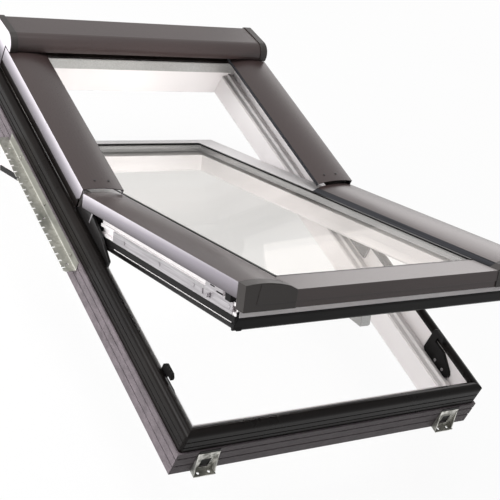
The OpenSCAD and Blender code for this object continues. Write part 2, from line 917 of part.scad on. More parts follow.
// Front run of the gasket: double lip on the front fin and soft body under the bottom rail
module front_gasket_profile() {
    lip = sash_gasket_h / 10;
    w = front_gasket_w;
    mid_h = (front_lip_h + overlap_bottom_h) / 2;
    polygon([
        [-front_fin_step, front_lip_h - touch], [-front_fin_t, front_lip_h - touch],
        [-front_fin_t, mid_h + 0.7 * lip], [0.4 * lip - front_fin_t, mid_h],
        [-front_fin_t, mid_h - 0.7 * lip], [-front_fin_t, overlap_bottom_h],
        [0.5 * lip, gasket_bottom_h + 1.5 * lip], [2 * lip, gasket_bottom_h], [0.67 * w, gasket_bottom_h],
        [0.83 * w, sash_bottom_h - 2 * lip], [w, sash_bottom_h - 2 * lip], [w, sash_bottom_h],
        [0, sash_bottom_h], [0, overlap_bottom_h], [-front_fin_step, overlap_bottom_h]
    ]);
}

module sash_gasket() {
    corner_r = 6;
    lip_x = overlap_x + plate_t;
    color(seal_black) in_sash()
        intersection() {
            union() {
                for (s = [-1, 1])
                    on_side(s > 0)
                        run_y(-sash_y, -overlap_end)
                            translate([overlap_x, 0]) mirror([1, 0]) gasket_profile();
                run_x(-lip_x, lip_x)
                    translate([-sash_y, 0]) front_gasket_profile();
            }
            translate([0, 0, gasket_bottom_h - 1])
                linear_extrude(tall) round_rect(2 * lip_x + touch, 2 * (sash_y + front_fin_t) + touch, corner_r);
        }
}

// Cladding

// Side cladding: band, crown, steep inner slope down to the glass
module clad_section() {
    steps = [for (i = [0:crown_steps]) i / crown_steps];
    outer = [for (u = steps) [clad_x - u * clad_w, crown_h(clad_x - u * clad_w)]];
    inner = [for (i = [crown_steps:-1:0]) let (u = i / crown_steps)
        [clad_x - sheet_t - u * (clad_w - sheet_t), crown_h(clad_x - u * clad_w) - sheet_t]];
    polygon(concat(
        [[clad_x, band_bottom_h]], outer,
        [[clad_in_x, clad_foot_h], [clad_in_x + 2 * sheet_t, clad_foot_h]],
        inner, [[clad_x - sheet_t, band_bottom_h]]
    ));
}

module clad_side(right) {
    color(clad_grey) in_sash() on_side(right)
        run_y(-cap_back_y, clad_end) clad_section();
}

module clad_left() {
    clad_side(false);
}

module clad_right() {
    clad_side(true);
}

// Front cladding: two-step front face and top face down to the glass
module clad_front() {
    color(clad_grey) in_sash()
        run_x(-clad_in_x, clad_in_x)
            polygon([
                [-front_y + clad_step, front_bottom_h], [-front_y + clad_step, clad_step_h],
                [-front_y, clad_step_h], [-front_y, front_top_h], [-front_line_y, clad_foot_h + sheet_t],
                [-front_line_y, clad_foot_h],
                [-front_y + sheet_t + clad_step, front_top_h - sheet_t],
                [-front_y + sheet_t + clad_step, front_bottom_h]
            ]);
}

// Corner cap: hollow moulding with the cladding's crowned outline and a raised front panel
module corner_cap(right) {
    wall = 3;
    low_in_x = clad_in_x + touch;
    steps = [for (i = [0:crown_steps]) i / crown_steps];
    crown = [for (u = steps) [clad_x - u * clad_w, crown_h(clad_x - u * clad_w)]];
    panel = [for (u = steps) if (u > 0.25)
        [clad_x - u * clad_w, crown_h(clad_x - u * clad_w) - 2]];
    panel_x = clad_x - 0.27 * clad_w;
    color(clad_grey) in_sash() on_side(right)
        difference() {
            union() {
                run_y(-front_y, -cap_back_y - touch)
                    polygon(concat([[low_in_x, front_bottom_h], [clad_x, front_bottom_h]], crown,
                        [[low_in_x, front_top_h]]));
                run_y(-front_y - 1, -front_y)
                    polygon(concat([[low_in_x, clad_step_h], [panel_x, clad_step_h]], panel,
                        [[low_in_x, front_top_h - 2]]));
            }
            run_y(-front_y + wall, -cap_back_y + 1)
                polygon([
                    [low_in_x + wall, front_bottom_h - 1], [clad_x - wall, front_bottom_h - 1],
                    [clad_x - wall, clad_edge_h - wall], [crown_in_x, front_top_h - wall],
                    [low_in_x + wall, front_top_h - wall]
                ]);
        }
}

module corner_cap_left() {
    corner_cap(false);
}

module corner_cap_right() {
    corner_cap(true);
}

// Glazing beads of the upper half

bead_h = 2.4;
bead_start = clad_end + 8;

module bead_side(right) {
    color("gainsboro") in_sash() on_side(right)
        run_y(bead_start, bead_line_y)
            translate([sight_x, sash_top_h]) square([sash_member_w, bead_h]);
}

module bead_left() {
    bead_side(false);
}

module bead_right() {
    bead_side(true);
}

module bead_top() {
    color("gainsboro") in_sash()
        run_x(-sash_x, sash_x)
            translate([bead_line_y + touch, sash_top_h])
                square([bead_w - touch, bead_h]);
}

// Locks

plate_end = sash_y - 12;

// Lock faceplate along the overlap, with the lock case over it
module lock_plate(right) {
    slot_half = stud_r + 1;
    case_l = 57;
    case_y = -stud_y - 0.72 * case_l;
    color(steel) in_sash() on_side(right)
        difference() {
            union() {
                translate([overlap_x, -plate_end, stud_h - plate_half_h])
                    cube([plate_t, plate_end - plate_start, 2 * plate_half_h]);
                translate([fin_x + touch, case_y, overlap_top_h])
                    cube([overlap_x + plate_t - fin_x - touch, case_l, case_h]);
                translate([overlap_x, case_y, stud_h])
                    cube([plate_t, case_l, overlap_top_h + case_h - stud_h]);
            }
            translate([overlap_x - 1, -stud_y - slot_half, stud_h - slot_half])
                cube([plate_t + 2, lock_travel + 2 * slot_half, 2 * slot_half]);
        }
}

module lock_plate_left() {
    lock_plate(false);
}

module lock_plate_right() {
    lock_plate(true);
}

// Stop block on the overlap, beside the front corner
module stop_block(right) {
    stop_l = 17;
    stop_w = 12;
    color(seal_black) in_sash() on_side(right)
        translate([fin_x, -plate_end - touch, overlap_top_h]) cube([stop_w, stop_l, stop_h]);
}

module stop_left() {
    stop_block(false);
}

module stop_right() {
    stop_block(true);
}

// Lock rod: flat bar in the overlap's groove with a headed stud
module lock_rod(right) {
    rod_half_h = groove_h / 2 - rod_clearance;
    stud_end = inner_x - 2;
    color("silver") in_sash() on_side(right) {
        translate([rod_x0, -plate_end + 10, stud_h - rod_half_h])
            cube([rod_x1 - rod_x0, plate_end - 10 - plate_start - lock_travel - 8, 2 * rod_half_h]);
        translate([rod_x1 - 1, -stud_y, stud_h])
            rotate([0, 90, 0]) cylinder(r = stud_r, h = stud_end - rod_x1 + 1);
    }
}

module lock_rod_left() {
    lock_rod(false);
}

module lock_rod_right() {
    lock_rod(true);
}

// Handle

module handle_rose() {
    rose_w = 66;
    color("lightgray") in_sash()
        translate([0, handle_y, sash_bottom_h - rose_t])
            linear_extrude(rose_t)
                difference() {
                    round_rect(rose_w, rose_l, rose_l / 2 - 0.5);
                    circle(spindle_r + pin_clearance);
                }
}

// Lever with its spindle: deep at the spindle, tapered to its tip up the slope
module handle() {
    lever_t = 0.6 * lever_w;
    half = lever_w / 2;
    bevel = 0.2 * lever_w;
    top_h = sash_bottom_h - rose_t - touch;
    low_h = top_h - lever_off - lever_t / 2;
    tip_y = lever_l - half;
    tip_h = low_h + 0.14 * lever_l;
    color("gray") in_sash()
        translate([0, handle_y, 0]) {
            translate([0, 0, top_h - 1]) cylinder(r = spindle_r, h = rose_t + spindle_l);
            run_x(-half, half)
                polygon([
                    [-half, top_h], [-half, low_h + bevel], [bevel - half, low_h], [tip_y - bevel, tip_h],
                    [tip_y, tip_h + bevel], [tip_y, tip_h + lever_t - bevel],
                    [tip_y - bevel, tip_h + lever_t], [2 * lever_w, top_h - lever_t], [half, top_h]
                ]);
        }
}

frame_sill();
frame_right_jamb();
frame_head();
frame_left_jamb();
insulation_sill();
insulation_right();
insulation_head();
insulation_left();
weather_seal();
rebate_gasket();
cover_left();
cover_right();
cover_carrier_left();
cover_carrier_right();
cover_screws();
hood();
hood_cap_left();
hood_cap_right();
side_bracket_left();
side_bracket_right();
bracket_screws();
sill_brackets();
catch_left();
catch_right();
catch_screws();
frame_hinge_left();
frame_hinge_right();
sash_bottom_rail();
sash_right_stile();
sash_top_rail();
sash_left_stile();
glass_outer();
glass_inner();
glass_spacer();
sash_overlap_left();
sash_overlap_right();
sash_overlap_front();
sash_gasket();
clad_left();
clad_right();
clad_front();
corner_cap_left();
corner_cap_right();
bead_left();
bead_right();
bead_top();
sash_hinge_left();
sash_hinge_right();
lock_plate_left();
lock_plate_right();
stop_left();
stop_right();
lock_rod_left();
lock_rod_right();
handle_rose();
handle();
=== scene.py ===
"""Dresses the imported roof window: procedural finishes, small fittings, studio light and camera."""
import json
import math

import bmesh
import bpy
from mathutils import Euler, Matrix, Vector


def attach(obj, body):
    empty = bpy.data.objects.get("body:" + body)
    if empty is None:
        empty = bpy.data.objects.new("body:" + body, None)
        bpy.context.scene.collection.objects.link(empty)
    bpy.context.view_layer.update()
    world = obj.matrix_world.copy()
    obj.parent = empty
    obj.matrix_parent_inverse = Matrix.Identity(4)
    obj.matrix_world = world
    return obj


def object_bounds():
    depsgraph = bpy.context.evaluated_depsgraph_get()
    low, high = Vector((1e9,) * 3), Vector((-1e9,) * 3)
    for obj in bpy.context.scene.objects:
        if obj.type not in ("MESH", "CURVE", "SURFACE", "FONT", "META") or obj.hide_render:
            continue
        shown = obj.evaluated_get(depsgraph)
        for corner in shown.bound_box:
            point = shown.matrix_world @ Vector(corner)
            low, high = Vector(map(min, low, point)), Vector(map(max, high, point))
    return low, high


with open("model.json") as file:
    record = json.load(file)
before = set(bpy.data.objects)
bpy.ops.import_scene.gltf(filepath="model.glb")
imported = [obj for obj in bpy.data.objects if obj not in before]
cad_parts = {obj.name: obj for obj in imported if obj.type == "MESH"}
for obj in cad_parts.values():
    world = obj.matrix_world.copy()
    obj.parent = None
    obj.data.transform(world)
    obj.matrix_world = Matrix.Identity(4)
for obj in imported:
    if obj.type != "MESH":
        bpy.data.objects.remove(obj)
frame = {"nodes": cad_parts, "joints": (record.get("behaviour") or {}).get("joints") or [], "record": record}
cad_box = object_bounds()
scene = bpy.context.scene


# Camera, solved from the edges of the frame in the photograph

CAMERA_POSITION = Vector((-1.48638, -1.67972, 1.66722))
CAMERA_ANGLES_DEG = (50.46517, -20.58229, -27.83341)
FOCAL_PIXELS = 1235.724
IMAGE_PIXELS = 500
SENSOR_MM = 36.0


def add_camera():
    """Camera that frames the window as the photograph does."""
    data = bpy.data.cameras.new("photo_camera")
    data.sensor_fit = "HORIZONTAL"
    data.sensor_width = SENSOR_MM
    data.lens = FOCAL_PIXELS * SENSOR_MM / IMAGE_PIXELS
    camera = bpy.data.objects.new("photo_camera", data)
    scene.collection.objects.link(camera)
    turn = Euler([math.radians(angle) for angle in CAMERA_ANGLES_DEG])
    camera.matrix_world = Matrix.Translation(CAMERA_POSITION) @ turn.to_matrix().to_4x4()
    scene.camera = camera


# Node helpers, in metres

pivot_joint = next(joint for joint in frame["joints"] if joint["name"] == "sash_pivot")
PIVOT = Vector(pivot_joint["pos_m"])
SASH_TILT = math.radians(-pivot_joint["range_deg"][0])  # from shut to rest
EDGE_RADIUS = 0.0012
EDGE_SAMPLES = 4
FINE_RELIEF = 0.0004
DOWN_SLOPE_NORMAL = -0.7  # faces whose normal has a smaller Y look down the roof


class Graph:
    """Short calls for building a material's nodes, in the closed window's coordinates."""

    def __init__(self, name, on_sash=False):
        self.material = bpy.data.materials.new(name + ("_sash" if on_sash else ""))
        self.material.use_nodes = True
        self.tree = self.material.node_tree
        self.tree.nodes.clear()
        self.out = self.tree.nodes.new("ShaderNodeOutputMaterial")
        source = self.node("ShaderNodeTexCoord").outputs["Object"]
        if on_sash:
            turn = Matrix.Rotation(SASH_TILT, 3, "X")
            shut = self.node("ShaderNodeMapping")
            shut.inputs["Rotation"].default_value = (SASH_TILT, 0, 0)
            shut.inputs["Location"].default_value = PIVOT - turn @ PIVOT
            self.link(source, shut.inputs["Vector"])
            source = shut.outputs["Vector"]
        self.place = source

    def node(self, kind, **values):
        made = self.tree.nodes.new(kind)
        for key, value in values.items():
            setattr(made, key, value)
        return made

    def link(self, source, target):
        self.tree.links.new(source, target)

    def feed(self, value, socket):
        """Gives a socket a number, or the output of another node."""
        if isinstance(value, (int, float)):
            socket.default_value = value
        else:
            self.link(value, socket)

    def noise(self, scale, detail=4.0, roughness=0.55, y_scale=1.0):
        """Noise whose grain is drawn out along the slope by a small y_scale."""
        drawn = self.node("ShaderNodeMapping")
        drawn.inputs["Scale"].default_value = (1.0, y_scale, 1.0)
        self.link(self.place, drawn.inputs["Vector"])
        made = self.node("ShaderNodeTexNoise")
        made.inputs["Scale"].default_value = scale
        made.inputs["Detail"].default_value = detail
        made.inputs["Roughness"].default_value = roughness
        self.link(drawn.outputs["Vector"], made.inputs["Vector"])
        return made.outputs["Fac"]

    def cells(self, scale):
        made = self.node("ShaderNodeTexVoronoi")
        made.inputs["Scale"].default_value = scale
        self.link(self.place, made.inputs["Vector"])
        return made

    def component(self, vector, axis):
        parts = self.node("ShaderNodeSeparateXYZ")
        self.link(vector, parts.inputs["Vector"])
        return parts.outputs[axis]

    def along(self, axis):
        """Place along an axis of the row frame, with the sash shut."""
        return self.component(self.place, axis)

    def facing(self, axis):
        """How far the surface looks along an axis, with the sash as it is."""
        return self.component(self.node("ShaderNodeNewGeometry").outputs["True Normal"], axis)

    def outward(self):
        """How far the surface looks away from the window's middle, across X."""
        return self.math("MULTIPLY", self.facing("X"), self.math("SIGN", self.along("X"), 0.0))

    def facing_down_slope(self):
        """One on faces that look down the roof, else nought."""
        return self.math("LESS_THAN", self.facing("Y"), DOWN_SLOPE_NORMAL)

    def ramp(self, value, low, high, start=0.3, end=0.7, middle=None):
        """Colours from low to high as value goes from start to end."""
        made = self.node("ShaderNodeValToRGB")
        stops = made.color_ramp.elements
        stops[0].position = start
        stops[0].color = (*low, 1)
        stops[1].position = end
        stops[1].color = (*high, 1)
        if middle:
            stops.new(0.5 * (start + end)).color = (*middle, 1)
        self.link(value, made.inputs["Fac"])
        return made.outputs["Color"]

    def span(self, value, low, high, start=0.0, end=1.0):
        """Number from low to high as value goes from start to end."""
        made = self.node("ShaderNodeMapRange")
        made.inputs["From Min"].default_value = start
        made.inputs["From Max"].default_value = end
        made.inputs["To Min"].default_value = low
        made.inputs["To Max"].default_value = high
        self.link(value, made.inputs["Value"])
        return made.outputs["Result"]

    def math(self, operation, first, second):
        made = self.node("ShaderNodeMath", operation=operation)
        for socket, value in zip(made.inputs, (first, second)):
            self.feed(value, socket)
        return made.outputs["Value"]

    def mix(self, factor, first, second):
        made = self.node("ShaderNodeMix", data_type="RGBA")
        self.link(factor, made.inputs["Factor"])
        for name, value in (("A", first), ("B", second)):
            socket = [s for s in made.inputs if s.name == name and s.type == "RGBA"][0]
            self.link(value, socket)
        return [s for s in made.outputs if s.type == "RGBA"][0]

    def bump(self, height, strength, distance=FINE_RELIEF):
        """Surface relief over edges that are softly rounded."""
        edge = self.node("ShaderNodeBevel", samples=EDGE_SAMPLES)
        edge.inputs["Radius"].default_value = EDGE_RADIUS
        made = self.node("ShaderNodeBump")
        made.inputs["Strength"].default_value = strength
        made.inputs["Distance"].default_value = distance
        self.link(height, made.inputs["Height"])
        self.link(edge.outputs["Normal"], made.inputs["Normal"])
        return made.outputs["Normal"]

    def principled(self, color, roughness, normal, metallic=0.0, specular=0.5):
        made = self.node("ShaderNodeBsdfPrincipled")
        self.link(color, made.inputs["Base Color"])
        self.link(roughness, made.inputs["Roughness"])
        self.link(normal, made.inputs["Normal"])
        made.inputs["Metallic"].default_value = metallic
        self.feed(specular, made.inputs["Specular IOR Level"])
        self.link(made.outputs["BSDF"], self.out.inputs["Surface"])
        return self.material


# Finishes

BAND_SHEEN_HEIGHTS = {True: (0.097, 0.1266), False: (0.0955, 0.1303)}  # on the sash, on the frame: heights over which the painted sheen of the bands grows
BAND_SHEEN_RUN = (-0.57, -0.05)  # stretch along the slope over which the painted sheen of the bands grows brighter

# Faces told apart by how far they look outward
INNER_SLOPE = -0.4
BRACKET_LEG = 0.7
OUTER_BAND = 0.9

BRUSH_Y_SCALE = 0.03  # of fine lines along the slope


def painted_band_sheen(g, drift, on_sash):
    """Painted lilac sheen on the upright outer bands: a painted reflection, brightest along their upper edge
    and up the slope.
    """
    sheen = g.span(g.along("Z"), 0.0, 1.0, *BAND_SHEEN_HEIGHTS[on_sash])
    sheen = g.math("ADD", sheen, g.span(drift, -0.15, 0.15))
    sheen = g.math("MULTIPLY", sheen, g.span(g.along("Y"), 0.6, 1.0, *BAND_SHEEN_RUN))
    return g.ramp(sheen, (0.085, 0.074, 0.084), (0.70, 0.66, 0.71), 0.0, 1.0,
                  middle=(0.27, 0.248, 0.280))


def cladding_paint(on_sash):
    """Satin grey-brown paint, fine orange peel, painted sheen on outer bands, painted shade on inner slopes.
    """
    g = Graph("cladding_paint", on_sash)
    drift = g.noise(3.0, detail=2.0, y_scale=0.35)
    paint = g.ramp(drift, (0.035, 0.023, 0.022), (0.050, 0.034, 0.033))
    # Inner slopes: a darker streaked copy of the paint, painted shade
    shade_streaks = g.noise(240.0, detail=2.0, y_scale=0.01)
    slope = g.ramp(shade_streaks, (0.006, 0.006, 0.007), (0.035, 0.036, 0.042))
    outward = g.outward()
    shaded_inside = g.math("LESS_THAN", outward, INNER_SLOPE)
    color = g.mix(shaded_inside, paint, slope)
    # Outer bands take a painted sheen
    band = g.math("GREATER_THAN", outward, OUTER_BAND)
    color = g.mix(band, color, painted_band_sheen(g, drift, on_sash))
    grain = g.noise(900.0, detail=2.0)
    return g.principled(color, g.span(grain, 0.24, 0.34), g.bump(grain, 0.05),
                        specular=g.span(shaded_inside, 0.46, 0.1))


def cap_plastic(on_sash):
    """Dark moulded plastic with a fine erosion grain; the hood's caps have a painted sheen on their ends."""
    g = Graph("cap_plastic", on_sash)
    grain = g.noise(700.0, detail=3.0)
    drift = g.noise(6.0, detail=2.0)
    tone = g.ramp(drift, (0.018, 0.0145, 0.013), (0.028, 0.023, 0.021))
    # The hood's caps: a painted sheen on their outward ends
    if not on_sash:
        end = g.math("GREATER_THAN", g.outward(), OUTER_BAND)
        tone = g.mix(end, tone, painted_band_sheen(g, drift, on_sash))
    return g.principled(tone, g.span(grain, 0.34, 0.5), g.bump(grain, 0.12), specular=0.4)


def white_plastic(name, on_sash, low, high):
    """Satin white PVC with faint drawing lines and a soft drift of tone."""
    g = Graph(name, on_sash)
    tone = g.ramp(g.noise(2.5, detail=3.0), low, high)
    lines = g.noise(260.0, detail=2.0, y_scale=0.02)
    return g.principled(tone, g.span(lines, 0.28, 0.40), g.bump(lines, 0.03))


def white_pvc(on_sash):
    return white_plastic("white_pvc", on_sash, (0.81, 0.775, 0.78), (0.88, 0.855, 0.855))


def bead_plastic(on_sash):
    return white_plastic("bead_plastic", on_sash, (0.66, 0.64, 0.64), (0.75, 0.73, 0.73))


def insulation_foam(on_sash):
    """Mauve-grey bead foam: fused pellets, pitted skin, rubbed patches; painted shade on faces looking down
    the roof.
    """
    g = Graph("insulation_foam", on_sash)
    blotch = g.noise(34.0, detail=8.0, roughness=0.78, y_scale=0.6)
    side = g.ramp(blotch, (0.085, 0.072, 0.078), (0.225, 0.190, 0.208))
    # Faces that look down the roof take a darker copy: painted shade
    front = g.ramp(blotch, (0.050, 0.043, 0.045), (0.105, 0.090, 0.096))
    tone = g.mix(g.facing_down_slope(), side, front)
    relief = g.math("ADD", g.cells(260.0).outputs["Distance"], g.noise(420.0, detail=3.0))
    return g.principled(tone, g.span(blotch, 0.50, 0.72), g.bump(relief, 0.45, distance=0.0010),
                        specular=0.35)


def black_plastic(name, on_sash, low, high, specular, rough):
    """Black profile: satin, with fine lines along its run and a little dust."""
    g = Graph(name, on_sash)
    dust = g.noise(7.0, detail=5.0, roughness=0.6)
    lines = g.noise(300.0, detail=2.0, y_scale=BRUSH_Y_SCALE)
    return g.principled(g.ramp(dust, low, high), g.span(dust, *rough),
                        g.bump(lines, 0.08, distance=0.0005), specular=specular)


def black_profile(on_sash):
    return black_plastic("black_profile", on_sash, (0.004, 0.003, 0.0027), (0.010, 0.0078, 0.007),
                         specular=0.10, rough=(0.22, 0.34))


def catch_plastic(on_sash):
    return black_plastic("catch_plastic", on_sash, (0.005, 0.005, 0.005), (0.011, 0.010, 0.010),
                         specular=0.12, rough=(0.4, 0.6))


def black_rubber(on_sash):
    return black_plastic("black_rubber", on_sash, (0.003, 0.003, 0.003), (0.008, 0.007, 0.007),
                         specular=0.12, rough=(0.24, 0.34))


def grey_rubber(on_sash):
    """Pale grey seal with a little dust."""
    g = Graph("grey_rubber", on_sash)
    dust = g.noise(12.0, detail=4.0)
    tone = g.ramp(dust, (0.66, 0.635, 0.635), (0.76, 0.735, 0.735))
    return g.principled(tone, g.span(dust, 0.45, 0.6), g.bump(g.noise(500.0), 0.08))


def galvanised_steel(on_sash):
    """Zinc: a soft spangle, random dark patches as painted dark reflections, a painted highlight along the
    legs' fold and painted glints on the front.
    """
    g = Graph("galvanised_steel", on_sash)
    patch = g.node("ShaderNodeSeparateColor")
    g.link(g.cells(150.0).outputs["Color"], patch.inputs["Color"])
    flat = g.ramp(patch.outputs["Red"], (0.27, 0.265, 0.238), (0.37, 0.365, 0.330), 0.0, 1.0)
    # Legs: a painted highlight along the fold, fading higher up
    leg_fold_highlight = g.ramp(g.along("Z"), (0.88, 0.87, 0.83), (0.36, 0.355, 0.32), 0.003, 0.006)
    tone = g.mix(g.math("GREATER_THAN", g.outward(), BRACKET_LEG), flat, leg_fold_highlight)
    # Random dark patches: painted dark reflections
    dark_patch_noise = g.noise(16.0, detail=3.0, y_scale=0.5)
    painted_dark_reflection = g.ramp(dark_patch_noise, (0.16, 0.16, 0.14), (0.09, 0.095, 0.08))
    tone = g.mix(g.span(dark_patch_noise, 0.0, 0.75, 0.50, 0.68), tone, painted_dark_reflection)
    # Faces that look down the roof: painted glints
    glint_spots = g.noise(75.0, detail=2.0)
    glints = g.ramp(glint_spots, (0.20, 0.20, 0.175), (0.86, 0.85, 0.80), 0.36, 0.62)
    tone = g.mix(g.facing_down_slope(), tone, glints)
    scratch = g.noise(500.0, detail=2.0, y_scale=0.05)
    return g.principled(tone, g.span(patch.outputs["Green"], 0.34, 0.44),
                        g.bump(scratch, 0.08, distance=0.0003), metallic=0.6)


def brushed_metal(name, on_sash, low, high, metallic, y_scale=BRUSH_Y_SCALE):
    """Metal with fine brush lines, drawn out along the slope by a small y_scale."""
    g = Graph(name, on_sash)
    brushed = g.noise(400.0, detail=3.0, y_scale=y_scale)
    return g.principled(g.ramp(brushed, low, high), g.span(brushed, 0.24, 0.40),
                        g.bump(brushed, 0.06, distance=0.0003), metallic=metallic)


def plated_steel(on_sash):
    return brushed_metal("plated_steel", on_sash, (0.38, 0.36, 0.375), (0.60, 0.575, 0.595), 0.8)


def coated_steel(on_sash):
    return brushed_metal("coated_steel", on_sash, (0.014, 0.013, 0.013), (0.030, 0.028, 0.028), 0.3)


def satin_aluminium(on_sash):
    return brushed_metal("satin_aluminium", on_sash, (0.42, 0.42, 0.41), (0.56, 0.56, 0.55), 0.55)


def spacer_bar(on_sash):
    return brushed_metal("spacer_bar", on_sash, (0.42, 0.42, 0.42), (0.60, 0.60, 0.60), 0.6,
                         y_scale=1.0)


GLASS_INDEX = 1.5
GLASS_REFLECTS = 0.28
GLASS_TINT = (0.984, 0.980, 0.974, 1)
GLASS_SHEEN = (0.52, 0.51, 0.50, 1)


def clear_glass(on_sash):
    """Clear glass: a faintly warm see-through body, Fresnel reflections and a trace of haze."""
    g = Graph("clear_glass", on_sash)
    clear = g.node("ShaderNodeBsdfTransparent")
    clear.inputs["Color"].default_value = GLASS_TINT
    gloss = g.node("ShaderNodeBsdfGlossy")
    gloss.inputs["Color"].default_value = GLASS_SHEEN
    g.link(g.span(g.noise(4.0, detail=3.0), 0.0, 0.03), gloss.inputs["Roughness"])
    fresnel = g.node("ShaderNodeFresnel")
    behind = g.node("ShaderNodeNewGeometry").outputs["Backfacing"]
    g.link(g.span(behind, GLASS_INDEX, 1 / GLASS_INDEX), fresnel.inputs["IOR"])
    blend = g.node("ShaderNodeMixShader")
    g.link(g.math("MULTIPLY", fresnel.outputs["Fac"], GLASS_REFLECTS), blend.inputs["Fac"])
    g.link(clear.outputs["BSDF"], blend.inputs[1])
    g.link(gloss.outputs["BSDF"], blend.inputs[2])
    g.link(blend.outputs["Shader"], g.out.inputs["Surface"])
    return g.material


FINISH_OF_SLOT = {
    "white_pvc": white_pvc,
    "insulation": insulation_foam,
    "black_profile": black_profile,
    "grey_gasket": grey_rubber,
    "black_gasket": black_rubber,
    "cladding": cladding_paint,
    "cap_plastic": cap_plastic,
    "galvanised": galvanised_steel,
    "catch_plastic": catch_plastic,
    "steel": plated_steel,
    "coated_steel": coated_steel,
    "glass": clear_glass,
    "spacer": spacer_bar,
    "handle_metal": satin_aluminium,
    "bead_plastic": bead_plastic,
}
made_finishes = {}


def finish(make, on_sash):
    """The material of a finish, made once for the frame and once for the sash."""
    key = (make, on_sash)
    if key not in made_finishes:
        made_finishes[key] = make(on_sash)
    return made_finishes[key]


def dress_nodes():
    """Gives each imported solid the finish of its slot."""
    frame_nodes = frame["record"]["behaviour"]["bodies"]["frame"]
    for part in frame["record"]["subparts"]:
        name = part["node"]
        make = FINISH_OF_SLOT[part["material_slot"]]
        mesh = frame["nodes"][name].data
        mesh.materials.clear()
        mesh.materials.append(finish(make, name not in frame_nodes))


# Stage and light

FLOOR_DROP = 0.004
FLOOR_HALF = 12.0
FLOOR_GLOW = 0.93  # share of white that the camera sees in the floor; the rest takes the shadow
DAYLIGHT = 0.26
DAYLIGHT_COLOR = (1.0, 0.985, 0.985, 1)
BACKDROP_COLOR = (1.0, 1.0, 1.0, 1)
PANEL_COLOR = (1.0, 0.96, 0.95)
FILL_SPREAD_DEG = 75


def seen_directly(tree):
    """One for rays that show the backdrop to the camera, straight, mirrored or through glass."""
    path = tree.nodes.new("ShaderNodeLightPath")
    seen = path.outputs["Is Camera Ray"]
    for ray in ("Is Glossy Ray", "Is Transmission Ray"):
        either = tree.nodes.new("ShaderNodeMath")
        either.operation = "MAXIMUM"
        tree.links.new(seen, either.inputs[0])
        tree.links.new(path.outputs[ray], either.inputs[1])
        seen = either.outputs["Value"]
    return seen


def add_floor():
    """Pale matte floor just under the window."""
    mesh = bpy.data.meshes.new("studio_floor")
    made = bmesh.new()
    bmesh.ops.create_grid(made, x_segments=1, y_segments=1, size=FLOOR_HALF)
    made.to_mesh(mesh)
    made.free()
    floor = bpy.data.objects.new("studio_floor", mesh)
    floor.location.z = cad_box[0][2] - FLOOR_DROP
    scene.collection.objects.link(floor)
    g = Graph("studio_floor")
    matte = g.node("ShaderNodeBsdfDiffuse")
    tone = g.ramp(g.noise(0.8, detail=2.0), (0.86, 0.86, 0.86), (0.90, 0.90, 0.90))
    g.link(tone, matte.inputs["Color"])
    glow = g.node("ShaderNodeEmission")
    blend = g.node("ShaderNodeMixShader")
    g.link(g.math("MULTIPLY", seen_directly(g.tree), FLOOR_GLOW), blend.inputs["Fac"])
    g.link(matte.outputs["BSDF"], blend.inputs[1])
    g.link(glow.outputs["Emission"], blend.inputs[2])
    g.link(blend.outputs["Shader"], g.out.inputs["Surface"])
    mesh.materials.append(g.material)


def add_world():
    """Soft daylight on the window, and a white backdrop where it is seen."""
    world = bpy.data.worlds.new("studio")
    scene.world = world
    world.use_nodes = True
    tree = world.node_tree
    tree.nodes.clear()
    out = tree.nodes.new("ShaderNodeOutputWorld")
    soft = tree.nodes.new("ShaderNodeBackground")
    soft.inputs["Color"].default_value = DAYLIGHT_COLOR
    soft.inputs["Strength"].default_value = DAYLIGHT
    white = tree.nodes.new("ShaderNodeBackground")
    white.inputs["Color"].default_value = BACKDROP_COLOR
    blend = tree.nodes.new("ShaderNodeMixShader")
    tree.links.new(seen_directly(tree), blend.inputs["Fac"])
    tree.links.new(soft.outputs["Background"], blend.inputs[1])
    tree.links.new(white.outputs["Background"], blend.inputs[2])
    tree.links.new(blend.outputs["Shader"], out.inputs["Surface"])


def add_lamp(name, place, target, size, power):
    """Rectangular lamp at a place, turned to a target."""
    data = bpy.data.lights.new(name, "AREA")
    data.shape = "RECTANGLE"
    data.size, data.size_y = size
    data.energy = power
    lamp = bpy.data.objects.new(name, data)
    lamp.location = place
    aim = Vector(target) - Vector(place)
    lamp.rotation_euler = aim.to_track_quat("-Z", "Y").to_euler()
    scene.collection.objects.link(lamp)
    return lamp


def add_lamps():
    """Two softboxes, a panel for the right-hand sheen and a small fill just under the opening."""
    add_lamp("left_softbox", place=(-3.0, 0.5, 1.2), target=(0, 0.05, 0.05), size=(2.2, 2.0), power=92)
    add_lamp("top_softbox", place=(-0.6, 0.6, 3.4), target=(0, 0, 0), size=(2.2, 2.2), power=72)
    panel = add_lamp("back_panel", place=(3.65, 1.63, 0.65), target=(1.75, -1.18, 0.2),
                     size=(4.0, 1.7), power=37)
    panel.data.color = PANEL_COLOR
    fill = add_lamp("inner_fill", place=(-0.05, -0.30, -0.05), target=(0.0, 0.60, 0.02),
                    size=(0.40, 0.12), power=1.4)
    fill.data.spread = math.radians(FILL_SPREAD_DEG)
    fill.visible_camera = fill.visible_glossy = fill.visible_transmission = False


# Small fittings, in millimetres on the shut window: x, y and height h over the frame's underside

ROOF_HEIGHT = 33.0  # of the row frame's origin over that underside
SIDES = (-1, 1)

PANE_FACE = 143.1  # just clear of the outer pane
PANE_HALF = 234.5
PANE_ENDS = (-527.0, 517.2)
SEAL_OUTER_X = 239.6
SEAL_HEAD_START = 511.0
SEAL_FOOT_END = -522.5
SEAL_SIDE_TOP = 146.8
SEAL_HEAD_TOP = 147.4
SEAL_FOOT_TOP = 145.2

LOCK_SIDE = 334.0  # side faces of the lock plates and of the sash seal
SUNK = 0.2
PROUD = 0.5
GROOVE_PROUD = 0.3

